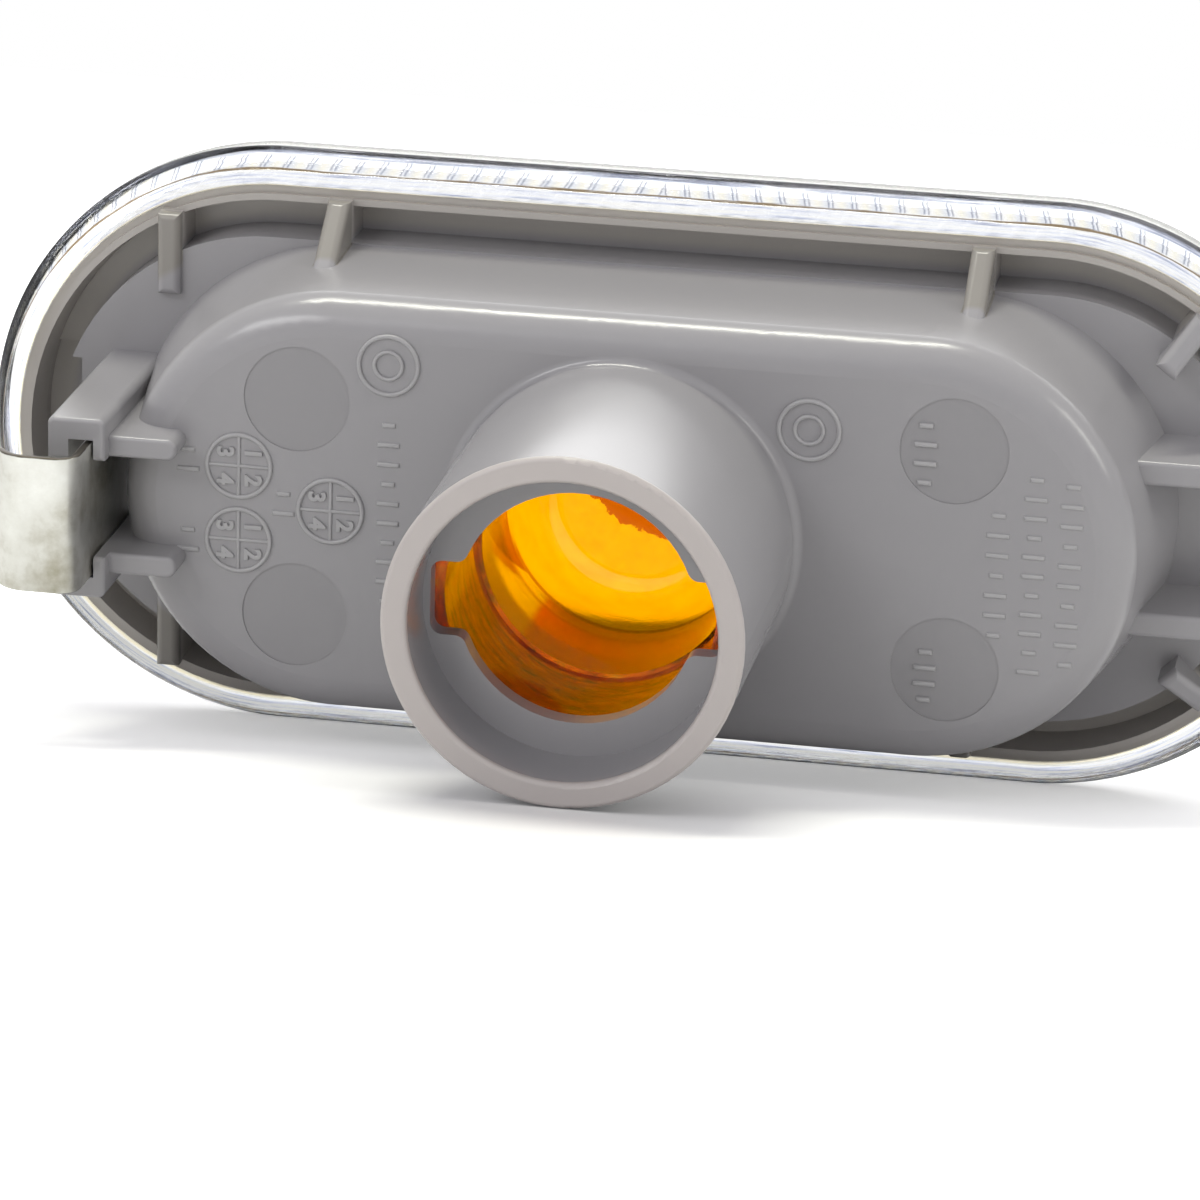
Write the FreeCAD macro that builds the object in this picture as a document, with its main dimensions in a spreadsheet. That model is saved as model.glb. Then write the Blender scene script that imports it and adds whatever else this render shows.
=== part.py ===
import FreeCAD, Part
import math
import os
import Sketcher

# Side repeater lamp for a car wing, seen as fitted: the lens faces +Y, the bulb socket points to -Y.
# The origin lies on the socket's axis, in the plane where the lens rests on the body panel.
# X runs along the lamp, with the spring clip at -X. Z is up. All sizes are in millimetres.

SIZES = {
    # oval outlines: half the distance between the end centres, and the end radius
    "lens_centres": 26.95,
    "lens_radius": 21.2,
    "lens_edge_step": 1.1,
    "lens_flare_depth": 2.2,
    "lens_depth": 12.5,
    "lens_wall": 2.2,
    "lens_front_land": 0.3,
    "lens_inside_round": 3.0,
    "lens_hollow_lean": 2.75,
    "lens_seat_depth": 5.2,
    "lens_ledge": 1.2,
    "weld_gap": 0.05,
    # how far a cutting outline starts outside its piece, and how far joined forms reach into each other
    "overshoot": 1.0,
    "overlap": 0.5,
    # outer skirt of the housing, which the lens fits over
    "skirt_inset": 2.3,
    "skirt_step_width": 0.5,
    "skirt_step_depth": 0.35,
    "skirt_rim_width": 0.45,
    "skirt_rim_height": 0.15,
    "groove_depth": 3.2,
    "groove_draft": 5.0,
    # floor that carries the pan
    "floor_stretch": 0.35,
    "floor_margin": 0.15,
    "floor_level": 0.8,
    "floor_wall": 2.0,
    # oval pan, set in from the groove all round and from the lens's end centres
    "channel_width": 2.65,
    "pan_end_inset": 5.4,
    "pan_side_lean": 0.5,
    "pan_end_lean": 1.75,
    "pan_level": 13.4,
    "pan_wall": 2.0,
    "pan_rear_round": 2.6,
    # round marks of the mould's inserts in the pan
    "mark_radius": 3.7,
    "mark_depth": 0.08,
    "mark_shift": 1.0,
    "mark_height": 7.75,
    # bulb socket
    "socket_radius": 12.0,
    "socket_bore": 10.25,
    "socket_level": 34.8,
    "socket_rim_round": 0.35,
    "socket_foot_round": 0.6,
    "ring_hole": 7.95,
    "ring_inset": 5.4,
    "ring_thickness": 1.5,
    "ring_notch_depth": 1.8,
    "ring_notch_width": 5.1,
    "ring_notch_round": 0.8,
    # stiffening ribs between the pan and the skirt
    "rib_thickness": 1.6,
    "rib_round": 0.5,
    "rib_rim_level": 1.6,
    "rib_pan_level": 7.6,
    "side_rib_place": 22.5,
    "end_rib_shift": 7.65,
    "end_rib_reach": 10.9,
    "bracket_place": 5.4,
    "bracket_thickness": 1.7,
    "bracket_inset": 0.3,
    "bracket_run": 3.9,
    "bracket_level": 7.6,
    "bracket_round": 0.35,
    "upper_rib_angle": 53.0,
    "lower_rib_angle": 46.0,
    "slant_level": 4.2,
    "slant_inner": 14.2,
    # guide posts for the clip
    "post_outside": 2.85,
    "post_inside": 1.15,
    "post_outer": 6.4,
    "post_level": 17.4,
    "guide_gap": 6.9,
    "web_thickness": 1.5,
    "post_round": 0.5,
    "post_edge_round": 0.3,
    "web_run": 4.7,
    "web_end_round": 0.7,
    "web_level": 16.2,
    "bite_width": 3.9,
    "bite_half_width": 5.6,
    "bite_depth": 4.0,
    # spring clip
    "clip_width": 9.6,
    "clip_thickness": 0.5,
    "clip_pan_gap": 0.16,
    "clip_slot_gap": 0.12,
    "slot_mouth": 1.0,
    "clip_fold_level": 21.7,
    "clip_fold_radius": 0.85,
    "clip_foot_level": 7.0,
    "clip_proud": 0.55,
    "clip_slope": 43.0,
    "clip_knee_radius": 1.6,
    "clip_tip_level": 5.4,
    "clip_lip": 0.9,
    # amber cap round the bulb
    "cap_gap": 0.15,
    "cap_wall": 1.0,
    "cap_step_level": 17.0,
    "cap_step": 0.3,
    "cap_shoulder_level": 8.6,
    "cap_end_level": 4.2,
}

FLAT = FreeCAD.Vector(0, 0, 0)

# how near a point has to be to count as lying on a face or an edge
SLACK = 0.02

# sizes that follow from the others
LENS_FRONT_ROUND = "(lens_depth - lens_flare_depth - lens_front_land)"
SKIRT = "(lens_radius - skirt_inset)"
SKIRT_RIM = "(" + SKIRT + " - skirt_step_width)"
GROOVE_RADIUS = "(" + SKIRT_RIM + " - skirt_rim_width)"
SKIRT_END = "(lens_centres + " + SKIRT + ")"
PAN_CENTRES = "(lens_centres - pan_end_inset)"
PAN_RADIUS = "(" + GROOVE_RADIUS + " - channel_width)"
PAN_REAR_CENTRES = "(" + PAN_CENTRES + " - pan_end_lean)"
PAN_REAR_RADIUS = "(" + PAN_RADIUS + " - pan_side_lean)"
FLOOR_CENTRES = "(lens_centres + floor_stretch)"
FLOOR_RADIUS = "(" + PAN_RADIUS + " + floor_margin)"
PAN_AT_CLIP = ("(" + PAN_CENTRES + " + " + PAN_RADIUS + " - (pan_end_lean + pan_side_lean)"
               + " * (clip_foot_level - floor_level) / (pan_level - floor_level))")
END_RIB_PLACE = "(lens_centres + end_rib_shift)"
NOTCH_REACH = "(ring_hole + ring_notch_depth)"
CLIP_PLACE = "(" + PAN_AT_CLIP + " + clip_pan_gap + clip_thickness / 2)"
POST_LEFT = "(" + CLIP_PLACE + " + post_outside)"
POST_RIGHT = "(" + CLIP_PLACE + " - post_inside)"
WEB_END = "(" + POST_RIGHT + " - web_run)"
KNEE_PLACE = "(" + SKIRT_END + " + clip_proud)"

doc = FreeCAD.newDocument("side_repeater")
sizes = doc.addObject("Spreadsheet::Sheet", "sizes")
for row, (alias, value) in enumerate(SIZES.items(), start=1):
    sizes.set("A%d" % row, alias)
    sizes.set("B%d" % row, str(value))
    sizes.setAlias("B%d" % row, alias)
doc.recompute()


def size(alias):
    """A driving dimension, read from the sheet."""
    return float(sizes.get(alias))


def bound(text):
    """An expression in which each size's name points at its cell in the sheet."""
    words = []
    word = ""
    for letter in text + " ":
        if letter.isalnum() or letter == "_":
            word += letter
            continue
        words.append("sizes." + word if word in SIZES else word)
        words.append(letter)
        word = ""
    return "".join(words).strip()


def new_body(label):
    body = doc.addObject("PartDesign::Body", label)
    body.Label = label
    body.Placement = FreeCAD.Placement(FLAT, FreeCAD.Rotation())
    return body


def origin_plane(body, role):
    for feature in body.Origin.OriginFeatures:
        if feature.Role == role:
            return feature
    raise ValueError("no plane " + role)


def new_sketch(body, name, role="XZ_Plane", offset="0"):
    """A sketch on an origin plane. On XZ its normal is -Y, so an offset is a level towards the rear."""
    sketch = body.newObject("Sketcher::SketchObject", name)
    sketch.AttachmentSupport = [(origin_plane(body, role), "")]
    sketch.MapMode = "FlatFace"
    sketch.setExpression("AttachmentOffset.Base.z", bound(offset))
    return sketch


def dimension(sketch, kind, arguments, text):
    """Adds a dimension whose value follows an expression on the sizes."""
    index = sketch.addConstraint(Sketcher.Constraint(kind, *arguments, 1.0))
    sketch.setExpression("Constraints[%d]" % index, bound(text))
    return index


def stadium(body, name, offset, centres, radius):
    """An oval with straight long sides and round ends, centred on the socket's axis."""
    sketch = new_sketch(body, name, offset=offset)
    half = 20.0
    r = 12.0
    up = FreeCAD.Vector(0, 0, 1)
    sketch.addGeometry(Part.LineSegment(FreeCAD.Vector(-half, r, 0), FreeCAD.Vector(half, r, 0)))
    right = Part.Circle(FreeCAD.Vector(half, 0, 0), up, r)
    sketch.addGeometry(Part.ArcOfCircle(right, -math.pi / 2, math.pi / 2))
    sketch.addGeometry(Part.LineSegment(FreeCAD.Vector(half, -r, 0), FreeCAD.Vector(-half, -r, 0)))
    left = Part.Circle(FreeCAD.Vector(-half, 0, 0), up, r)
    sketch.addGeometry(Part.ArcOfCircle(left, math.pi / 2, 3 * math.pi / 2))
    sketch.addConstraint([
        Sketcher.Constraint("Tangent", 0, 2, 1, 2),
        Sketcher.Constraint("Tangent", 1, 1, 2, 1),
        Sketcher.Constraint("Tangent", 2, 2, 3, 2),
        Sketcher.Constraint("Tangent", 3, 1, 0, 1),
        Sketcher.Constraint("Equal", 1, 3),
        Sketcher.Constraint("PointOnObject", 1, 3, -1),
        Sketcher.Constraint("Symmetric", 1, 3, 3, 3, -1, 1),
    ])
    dimension(sketch, "Radius", (1,), radius)
    dimension(sketch, "DistanceX", (3, 3, 1, 3), "2 * (" + centres + ")")
    return sketch


def circle(body, name, offset, radius):
    sketch = new_sketch(body, name, offset=offset)
    sketch.addGeometry(Part.Circle(FLAT, FreeCAD.Vector(0, 0, 1), 5.0))
    sketch.addConstraint(Sketcher.Constraint("Coincident", 0, 3, -1, 1))
    dimension(sketch, "Radius", (0,), radius)
    return sketch


def outline(body, name, corners, role="XZ_Plane", offset="0"):
    """A closed outline through corners, each a pair of expressions, measured from the origin."""
    sketch = new_sketch(body, name, role, offset)
    rough = [FreeCAD.Vector(value_of(first), value_of(second), 0) for first, second in corners]
    count = len(rough)
    for index in range(count):
        sketch.addGeometry(Part.LineSegment(rough[index], rough[(index + 1) % count]))
    for index in range(count):
        sketch.addConstraint(Sketcher.Constraint("Coincident", index, 2, (index + 1) % count, 1))
    for index, (first, second) in enumerate(corners):
        fix_point(sketch, index, 1, first, second)
    return sketch


def fix_point(sketch, edge, end, first, second):
    """Fixes a point of a sketch at two expressions. A value of nought is put on the axis itself."""
    for kind, text, axis in (("DistanceX", first, -2), ("DistanceY", second, -1)):
        if abs(value_of(text)) < 1e-9:
            sketch.addConstraint(Sketcher.Constraint("PointOnObject", edge, end, axis))
        else:
            index = sketch.addConstraint(Sketcher.Constraint(kind, -1, 1, edge, end, value_of(text)))
            sketch.setExpression("Constraints[%d]" % index, bound(text))


def value_of(text):
    """The number that an expression has with the sizes as they are now."""
    return float(sizes.evalExpression(bound(text)))


def pad(body, sketch, length, reverse=False, taper=None):
    """Thickens a sketch along its normal, which on XZ is towards the rear, or the other way."""
    feature = body.newObject("PartDesign::Pad", sketch.Name + "_pad")
    feature.Profile = sketch
    feature.setExpression("Length", bound(length))
    feature.Reversed = reverse
    if taper:
        feature.setExpression("TaperAngle", bound(taper))
    sketch.Visibility = False
    return feature


def pocket(body, sketch, length, reverse=False, taper=None):
    """Cuts a sketch out against its normal, which on XZ is towards the lens, or the other way."""
    feature = body.newObject("PartDesign::Pocket", sketch.Name + "_pocket")
    feature.Profile = sketch
    feature.setExpression("Length", bound(length))
    feature.Reversed = reverse
    if taper:
        feature.setExpression("TaperAngle", bound(taper))
    sketch.Visibility = False
    return feature


def loft(body, kind, name, sections):
    feature = body.newObject("PartDesign::" + kind, name)
    feature.Profile = sections[0]
    feature.Sections = sections[1:]
    feature.Ruled = True
    return feature


def edges_at(shape, test):
    """Names of the edges whose every sample point passes the test."""
    names = []
    for index, edge in enumerate(shape.Edges, start=1):
        span = edge.LastParameter - edge.FirstParameter
        points = [edge.valueAt(edge.FirstParameter + span * part) for part in (0.03, 0.5, 0.97)]
        if all(test(point) for point in points):
            names.append("Edge%d" % index)
    return names


def round_edges(body, name, radius, test):
    doc.recompute()
    base = body.Tip
    names = edges_at(base.Shape, test)
    if not names:
        raise ValueError("no edges to round for " + name)
    feature = body.newObject("PartDesign::Fillet", name)
    feature.Base = (base, names)
    feature.setExpression("Radius", bound(radius))
    doc.recompute()
    return feature


def near(value, target, slack=SLACK):
    return abs(value - target) < slack


# lens: clear oval dome whose open rear edge rests on the body panel
lens = new_body("lens")
dome = stadium(lens, "lens_dome", "-lens_flare_depth", "lens_centres", "lens_radius")
pad(lens, dome, "lens_depth - lens_flare_depth", reverse=True)
front = size("lens_depth")
round_edges(lens, "lens_front", LENS_FRONT_ROUND, lambda p: near(p.y, front))
flare_wide = stadium(lens, "lens_flare_wide", "-lens_flare_depth", "lens_centres", "lens_radius")
flare_edge = stadium(lens, "lens_flare_edge", "0", "lens_centres", "lens_radius - lens_edge_step")
loft(lens, "AdditiveLoft", "lens_flare", [flare_wide, flare_edge])
seat = stadium(lens, "lens_seat", "0", "lens_centres", SKIRT + " + weld_gap")
pocket(lens, seat, "lens_seat_depth")
hollow_rear = stadium(lens, "lens_hollow_rear", "-lens_seat_depth", "lens_centres", SKIRT + " - lens_ledge")
hollow_front = stadium(lens, "lens_hollow_front", "lens_wall - lens_depth", "lens_centres",
                       SKIRT + " - lens_ledge - lens_hollow_lean")
loft(lens, "SubtractiveLoft", "lens_hollow", [hollow_rear, hollow_front])
inside = size("lens_depth") - size("lens_wall")
round_edges(lens, "lens_inside", "lens_inside_round", lambda p: near(p.y, inside))

# housing: one moulding with the skirt, channel, floor, pan, ribs, clip guides and bulb socket
housing = new_body("housing")
back_edge = "-lens_seat_depth"
block = stadium(housing, "skirt_block", back_edge, "lens_centres", SKIRT)
pad(housing, block, "lens_seat_depth - skirt_step_depth")
rim = stadium(housing, "skirt_rim", back_edge, "lens_centres", SKIRT_RIM)
pad(housing, rim, "lens_seat_depth + skirt_rim_height")
groove = stadium(housing, "groove", "skirt_rim_height", "lens_centres", GROOVE_RADIUS)
pocket(housing, groove, "groove_depth + skirt_rim_height", taper="-groove_draft")
floor = stadium(housing, "floor_block", "-groove_depth", FLOOR_CENTRES, FLOOR_RADIUS)
pad(housing, floor, "groove_depth + floor_level")
foot = stadium(housing, "pan_foot", "floor_level", PAN_CENTRES, PAN_RADIUS)
pan_top = stadium(housing, "pan_rear", "pan_level", PAN_REAR_CENTRES, PAN_REAR_RADIUS)
loft(housing, "AdditiveLoft", "pan", [foot, pan_top])
pan_face = -size("pan_level")
round_edges(housing, "pan_rear_edge", "pan_rear_round", lambda p: near(p.y, pan_face))
for name, across, up_down in (("a", "-1", "1"), ("b", "-1", "-1"), ("c", "1", "1"), ("d", "1", "-1")):
    mark = new_sketch(housing, "mark_" + name, offset="pan_level")
    mark.addGeometry(Part.Circle(FLAT, FreeCAD.Vector(0, 0, 1), size("mark_radius")))
    mark_place = "%s * (%s + mark_shift)" % (across, PAN_CENTRES)
    fix_point(mark, 0, 3, mark_place, up_down + " * mark_height")
    dimension(mark, "Radius", (0,), "mark_radius")
    pocket(housing, mark, "mark_depth")
under_floor = stadium(housing, "under_floor", back_edge, FLOOR_CENTRES, FLOOR_RADIUS + " - floor_wall")
pocket(housing, under_floor, "lens_seat_depth + floor_level - floor_wall", reverse=True)
cavity_foot = stadium(housing, "cavity_foot", "floor_level - floor_wall",
                      PAN_CENTRES, PAN_RADIUS + " - pan_wall")
cavity_rear = stadium(housing, "cavity_rear", "pan_level - pan_wall",
                      PAN_REAR_CENTRES, PAN_REAR_RADIUS + " - pan_wall")
loft(housing, "SubtractiveLoft", "pan_cavity", [cavity_foot, cavity_rear])


def face_at(shape, point):
    """The face that holds a point."""
    for face in shape.Faces:
        if face.isInside(point, SLACK / 2, True):
            return face
    raise ValueError("no face at " + str(point))


def round_face(name, radius, points, test):
    """Rounds the edges of the faces that hold the points, where an edge's middle passes the test."""
    doc.recompute()
    base = housing.Tip
    names = []
    for point in points:
        for edge in face_at(base.Shape, point).Edges:
            middle = edge.valueAt((edge.FirstParameter + edge.LastParameter) / 2)
            if not test(middle):
                continue
            for index, other in enumerate(base.Shape.Edges, start=1):
                if other.isSame(edge) and "Edge%d" % index not in names:
                    names.append("Edge%d" % index)
    feature = housing.newObject("PartDesign::Fillet", name)
    feature.Base = (base, names)
    feature.setExpression("Radius", bound(radius))
    doc.recompute()
    return feature


def gusset(name, place, rim_reach, inner_reach, inner_level, side):
    """A rib across the channel, square to X, that runs from the skirt's rim inwards.

    It gives back a point on the rib's top, a quarter of the way in from the rim."""
    foot = "groove_depth + floor_wall / 2"
    sketch = outline(housing, name, [
        (foot, "%s * (%s)" % (side, rim_reach)),
        ("-rib_rim_level", "%s * (%s)" % (side, rim_reach)),
        ("-(%s)" % inner_level, "%s * (%s)" % (side, inner_reach)),
        (foot, "%s * (%s)" % (side, inner_reach)),
    ], "YZ_Plane", place + " - rib_thickness / 2")
    pad(housing, sketch, "rib_thickness")
    reach = 0.75 * value_of(rim_reach) + 0.25 * value_of(inner_reach)
    level = 0.75 * size("rib_rim_level") + 0.25 * value_of(inner_level)
    return FreeCAD.Vector(value_of(place), -level, value_of(side) * reach)


rib_tops = []
for name, sign, side in (("a", "-1", "1"), ("b", "-1", "-1"), ("c", "1", "1"), ("d", "1", "-1")):
    rib_tops.append(gusset("side_rib_" + name, "%s * side_rib_place" % sign, SKIRT_RIM,
                           PAN_REAR_RADIUS + " - pan_wall / 2", "rib_pan_level", side))
pan_side = value_of(PAN_RADIUS)
round_face("side_rib_rounds", "rib_round", rib_tops, lambda p: abs(p.z) > pan_side)
rib_tops = []
end_rib_rim = "sqrt(%s ^ 2 - end_rib_shift ^ 2)" % SKIRT_RIM
for name, side in (("a", "1"), ("b", "-1")):
    rib_tops.append(gusset("end_rib_" + name, "-" + END_RIB_PLACE, end_rib_rim, "end_rib_reach",
                           "rib_rim_level", side))
round_face("end_rib_rounds", "rib_round", rib_tops, lambda p: True)

# two level brackets and two slanted ribs stiffen the end without the clip
foot = "groove_depth + floor_wall / 2"
bracket_rim = "lens_centres + sqrt(%s ^ 2 - bracket_place ^ 2) - bracket_inset" % SKIRT_RIM
bracket_knee = SKIRT_END + " - bracket_run"
bracket_pan = "%s + sqrt(%s ^ 2 - bracket_place ^ 2) - pan_wall / 2" % (PAN_REAR_CENTRES, PAN_REAR_RADIUS)
bracket_tops = []
for name, side in (("a", "1"), ("b", "-1")):
    sketch = outline(housing, "bracket_" + name, [
        (bracket_pan, foot),
        (bracket_rim, foot),
        (bracket_rim, "-rib_rim_level"),
        (bracket_knee, "-bracket_level"),
        (bracket_pan, "-bracket_level"),
    ], "XY_Plane", "%s * bracket_place - bracket_thickness / 2" % side)
    pad(housing, sketch, "bracket_thickness")
    height = value_of(side + " * bracket_place")
    before_knee = value_of(bracket_knee) - size("overlap")
    half_way = (value_of(bracket_knee) + value_of(bracket_rim)) / 2
    half_level = (size("bracket_level") + size("rib_rim_level")) / 2
    bracket_tops.append(FreeCAD.Vector(before_knee, -size("bracket_level"), height))
    bracket_tops.append(FreeCAD.Vector(half_way, -half_level, height))
side_height = size("bracket_place")
round_face("bracket_rounds", "bracket_round", bracket_tops,
           lambda p: not near(abs(p.z), side_height, size("bracket_thickness") / 4))

slant_tops = []
for name, side, angle in (("a", "1", "upper_rib_angle"), ("b", "-1", "lower_rib_angle")):
    slant_rim = SKIRT_RIM + " - bracket_inset"
    sketch = outline(housing, "slant_rib_" + name, [
        ("slant_inner", foot),
        (slant_rim, foot),
        (slant_rim, "-rib_rim_level"),
        ("slant_inner", "-slant_level"),
    ], "XY_Plane")
    sketch.AttachmentOffset = FreeCAD.Placement(FLAT, FreeCAD.Rotation(FreeCAD.Vector(0, 1, 0), 0))
    sketch.setExpression("AttachmentOffset.Base.x", bound("lens_centres"))
    sketch.setExpression("AttachmentOffset.Rotation.Axis.y", "1")
    sketch.setExpression("AttachmentOffset.Rotation.Angle", bound("-1 * (%s) * %s" % (side, angle)))
    pad(housing, sketch, "rib_thickness").Midplane = True
    reach = (value_of(slant_rim) + size("slant_inner")) / 2
    turn = math.radians(value_of(side + " * " + angle))
    slant_tops.append(FreeCAD.Vector(size("lens_centres") + reach * math.cos(turn),
                                     -(size("rib_rim_level") + size("slant_level")) / 2,
                                     reach * math.sin(turn)))
round_face("slant_rib_rounds", "rib_round", slant_tops, lambda p: True)

# a bite out of the floor and the groove leaves room for the clip to flex
bite = new_sketch(housing, "bite", offset="floor_level + overshoot")
bite_round = value_of(GROOVE_RADIUS)
half = size("bite_half_width")
bite_left = -size("lens_centres") - math.sqrt(bite_round ** 2 - half ** 2)
bite_right = value_of("-lens_centres - (%s) + bite_width" % GROOVE_RADIUS)
bite_centre = FreeCAD.Vector(-size("lens_centres"), 0, 0)
rim_circle = Part.Circle(bite_centre, FreeCAD.Vector(0, 0, 1), bite_round)
turn = math.asin(half / bite_round)
bite.addGeometry([
    Part.ArcOfCircle(rim_circle, math.pi - turn, math.pi + turn),
    Part.LineSegment(FreeCAD.Vector(bite_left, -half, 0), FreeCAD.Vector(bite_right, -half, 0)),
    Part.LineSegment(FreeCAD.Vector(bite_right, -half, 0), FreeCAD.Vector(bite_right, half, 0)),
    Part.LineSegment(FreeCAD.Vector(bite_right, half, 0), FreeCAD.Vector(bite_left, half, 0)),
])
bite.addConstraint([
    Sketcher.Constraint("Coincident", 0, 2, 1, 1),
    Sketcher.Constraint("Coincident", 1, 2, 2, 1),
    Sketcher.Constraint("Coincident", 2, 2, 3, 1),
    Sketcher.Constraint("Coincident", 3, 2, 0, 1),
    Sketcher.Constraint("Horizontal", 1),
    Sketcher.Constraint("Horizontal", 3),
])
fix_point(bite, 0, 3, "-lens_centres", "0")
dimension(bite, "Radius", (0,), GROOVE_RADIUS + " - groove_depth * tan(groove_draft)")
fix_point(bite, 2, 1, "-lens_centres - (%s) + bite_width" % GROOVE_RADIUS, "-bite_half_width")
index = bite.addConstraint(Sketcher.Constraint("DistanceY", 2, 1, 2, 2, 2 * half))
bite.setExpression("Constraints[%d]" % index, bound("2 * bite_half_width"))
pocket(housing, bite, "floor_level + overshoot + bite_depth")



def post_outline(name, side):
    """A post's section: a rectangle whose two corners away from the clip's middle are rounded."""
    sketch = new_sketch(housing, name, offset="post_level")
    left = -value_of(POST_LEFT)
    right = -value_of(POST_RIGHT)
    inner = side * size("guide_gap") / 2
    outer = side * size("post_outer")
    r = size("post_round")
    turned = outer - side * r
    up = FreeCAD.Vector(0, 0, 1)
    right_arc = Part.Circle(FreeCAD.Vector(right - r, turned, 0), up, r)
    left_arc = Part.Circle(FreeCAD.Vector(left + r, turned, 0), up, r)
    quarter = math.pi / 2
    right_turn = (0, quarter) if side > 0 else (-quarter, 0)
    left_turn = (quarter, 2 * quarter) if side > 0 else (-2 * quarter, -quarter)
    sketch.addGeometry([
        Part.LineSegment(FreeCAD.Vector(left, inner, 0), FreeCAD.Vector(right, inner, 0)),
        Part.LineSegment(FreeCAD.Vector(right, inner, 0), FreeCAD.Vector(right, turned, 0)),
        Part.ArcOfCircle(right_arc, *right_turn),
        Part.LineSegment(FreeCAD.Vector(right - r, outer, 0), FreeCAD.Vector(left + r, outer, 0)),
        Part.ArcOfCircle(left_arc, *left_turn),
        Part.LineSegment(FreeCAD.Vector(left, turned, 0), FreeCAD.Vector(left, inner, 0)),
    ])
    first, last = (1, 2) if side > 0 else (2, 1)
    sketch.addConstraint([
        Sketcher.Constraint("Coincident", 0, 2, 1, 1),
        Sketcher.Constraint("Tangent", 1, 2, 2, first),
        Sketcher.Constraint("Tangent", 2, last, 3, 1),
        Sketcher.Constraint("Tangent", 3, 2, 4, first),
        Sketcher.Constraint("Tangent", 4, last, 5, 1),
        Sketcher.Constraint("Coincident", 5, 2, 0, 1),
        Sketcher.Constraint("Horizontal", 0),
        Sketcher.Constraint("Vertical", 1),
        Sketcher.Constraint("Horizontal", 3),
        Sketcher.Constraint("Vertical", 5),
        Sketcher.Constraint("Equal", 2, 4),
    ])
    dimension(sketch, "Radius", (2,), "post_round")
    fix_point(sketch, 0, 1, "-" + POST_LEFT, "%d * guide_gap / 2" % side)
    dimension(sketch, "DistanceX", (-1, 1, 0, 2), "-" + POST_RIGHT)
    dimension(sketch, "DistanceY", (-1, 1, 3, 1), "%d * post_outer" % side)
    return sketch


# two guide posts, each with a web to the pan, hold the clip's edges
for name, side in (("a", "1"), ("b", "-1")):
    post = post_outline("post_" + name, int(side))
    pad(housing, post, "post_level + floor_level - floor_wall / 2", reverse=True)
    web = outline(housing, "web_" + name, [
        ("-%s - overlap" % POST_RIGHT, side + " * guide_gap / 2"),
        ("-" + WEB_END, side + " * guide_gap / 2"),
        ("-" + WEB_END, side + " * (guide_gap / 2 + web_thickness)"),
        ("-%s - overlap" % POST_RIGHT, side + " * (guide_gap / 2 + web_thickness)"),
    ], offset="web_level")
    pad(housing, web, "web_level - floor_level", reverse=True)
post_sides = (-value_of(POST_LEFT), -value_of(POST_RIGHT))
web_tip = -value_of(WEB_END)
web_top = -size("web_level")
round_edges(housing, "web_ends", "web_end_round",
            lambda p: near(p.x, web_tip) and web_top + SLACK < p.y < pan_face - SLACK)
post_tops = []
for side in (1, -1):
    middle = side * (size("guide_gap") / 2 + size("post_outer")) / 2
    post_tops.append(FreeCAD.Vector(sum(post_sides) / 2, -size("post_level"), middle))
round_face("post_edges", "post_edge_round", post_tops, lambda p: True)
web_tops = []
for side in (1, -1):
    middle = side * (size("guide_gap") + size("web_thickness")) / 2
    before_tip = web_tip - size("overlap") - size("web_end_round")
    web_tops.append(FreeCAD.Vector(before_tip, web_top, middle))
round_face("web_edges", "post_edge_round", web_tops, lambda p: p.x > post_sides[1] + size("overlap"))
slot_left = "-%s - clip_thickness / 2 - clip_slot_gap - slot_mouth" % CLIP_PLACE
slot_right = "-%s + clip_thickness / 2 + clip_slot_gap" % CLIP_PLACE
for name, side in (("a", "1"), ("b", "-1")):
    slot_inner = side + " * (guide_gap / 2 - overlap)"
    slot_outer = side + " * (clip_width / 2 + clip_slot_gap)"
    slot = outline(housing, "slot_" + name, [
        (slot_left, slot_inner),
        (slot_right, slot_inner),
        (slot_right, slot_outer),
        (slot_left, slot_outer),
    ], offset="post_level + overshoot")
    pocket(housing, slot, "post_level + overshoot - clip_foot_level + clip_slot_gap")

# the bulb socket passes through the pan and holds the bayonet ring
socket = circle(housing, "socket", "socket_level", "socket_radius")
pad(housing, socket, "socket_level - pan_level + pan_wall / 2", reverse=True)
bore = circle(housing, "socket_bore", "socket_level", "socket_bore")
pocket(housing, bore, "socket_level")
socket_rear = -size("socket_level")
round_edges(housing, "socket_rim", "socket_rim_round", lambda p: near(p.y, socket_rear))
outer = size("socket_radius")
round_edges(housing, "socket_foot", "socket_foot_round",
            lambda p: near(p.y, pan_face) and near(math.hypot(p.x, p.z), outer))
ring_rear = "socket_level - ring_inset"
ring = circle(housing, "bayonet_ring", ring_rear, "socket_bore + overlap")
pad(housing, ring, "ring_thickness", reverse=True)
hole = circle(housing, "ring_hole", ring_rear, "ring_hole")
pocket(housing, hole, "ring_thickness")
notches = outline(housing, "ring_notches", [
    ("-" + NOTCH_REACH, "-ring_notch_width / 2"),
    (NOTCH_REACH, "-ring_notch_width / 2"),
    (NOTCH_REACH, "ring_notch_width / 2"),
    ("-" + NOTCH_REACH, "ring_notch_width / 2"),
], offset=ring_rear)
pocket(housing, notches, "ring_thickness")
notch_side = size("ring_notch_width") / 2
ring_back = -value_of(ring_rear)
ring_face = ring_back + size("ring_thickness")
round_edges(housing, "notch_corners", "ring_notch_round",
            lambda p: near(abs(p.z), notch_side) and ring_back + SLACK < p.y < ring_face - SLACK)
doc.recompute()

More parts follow.
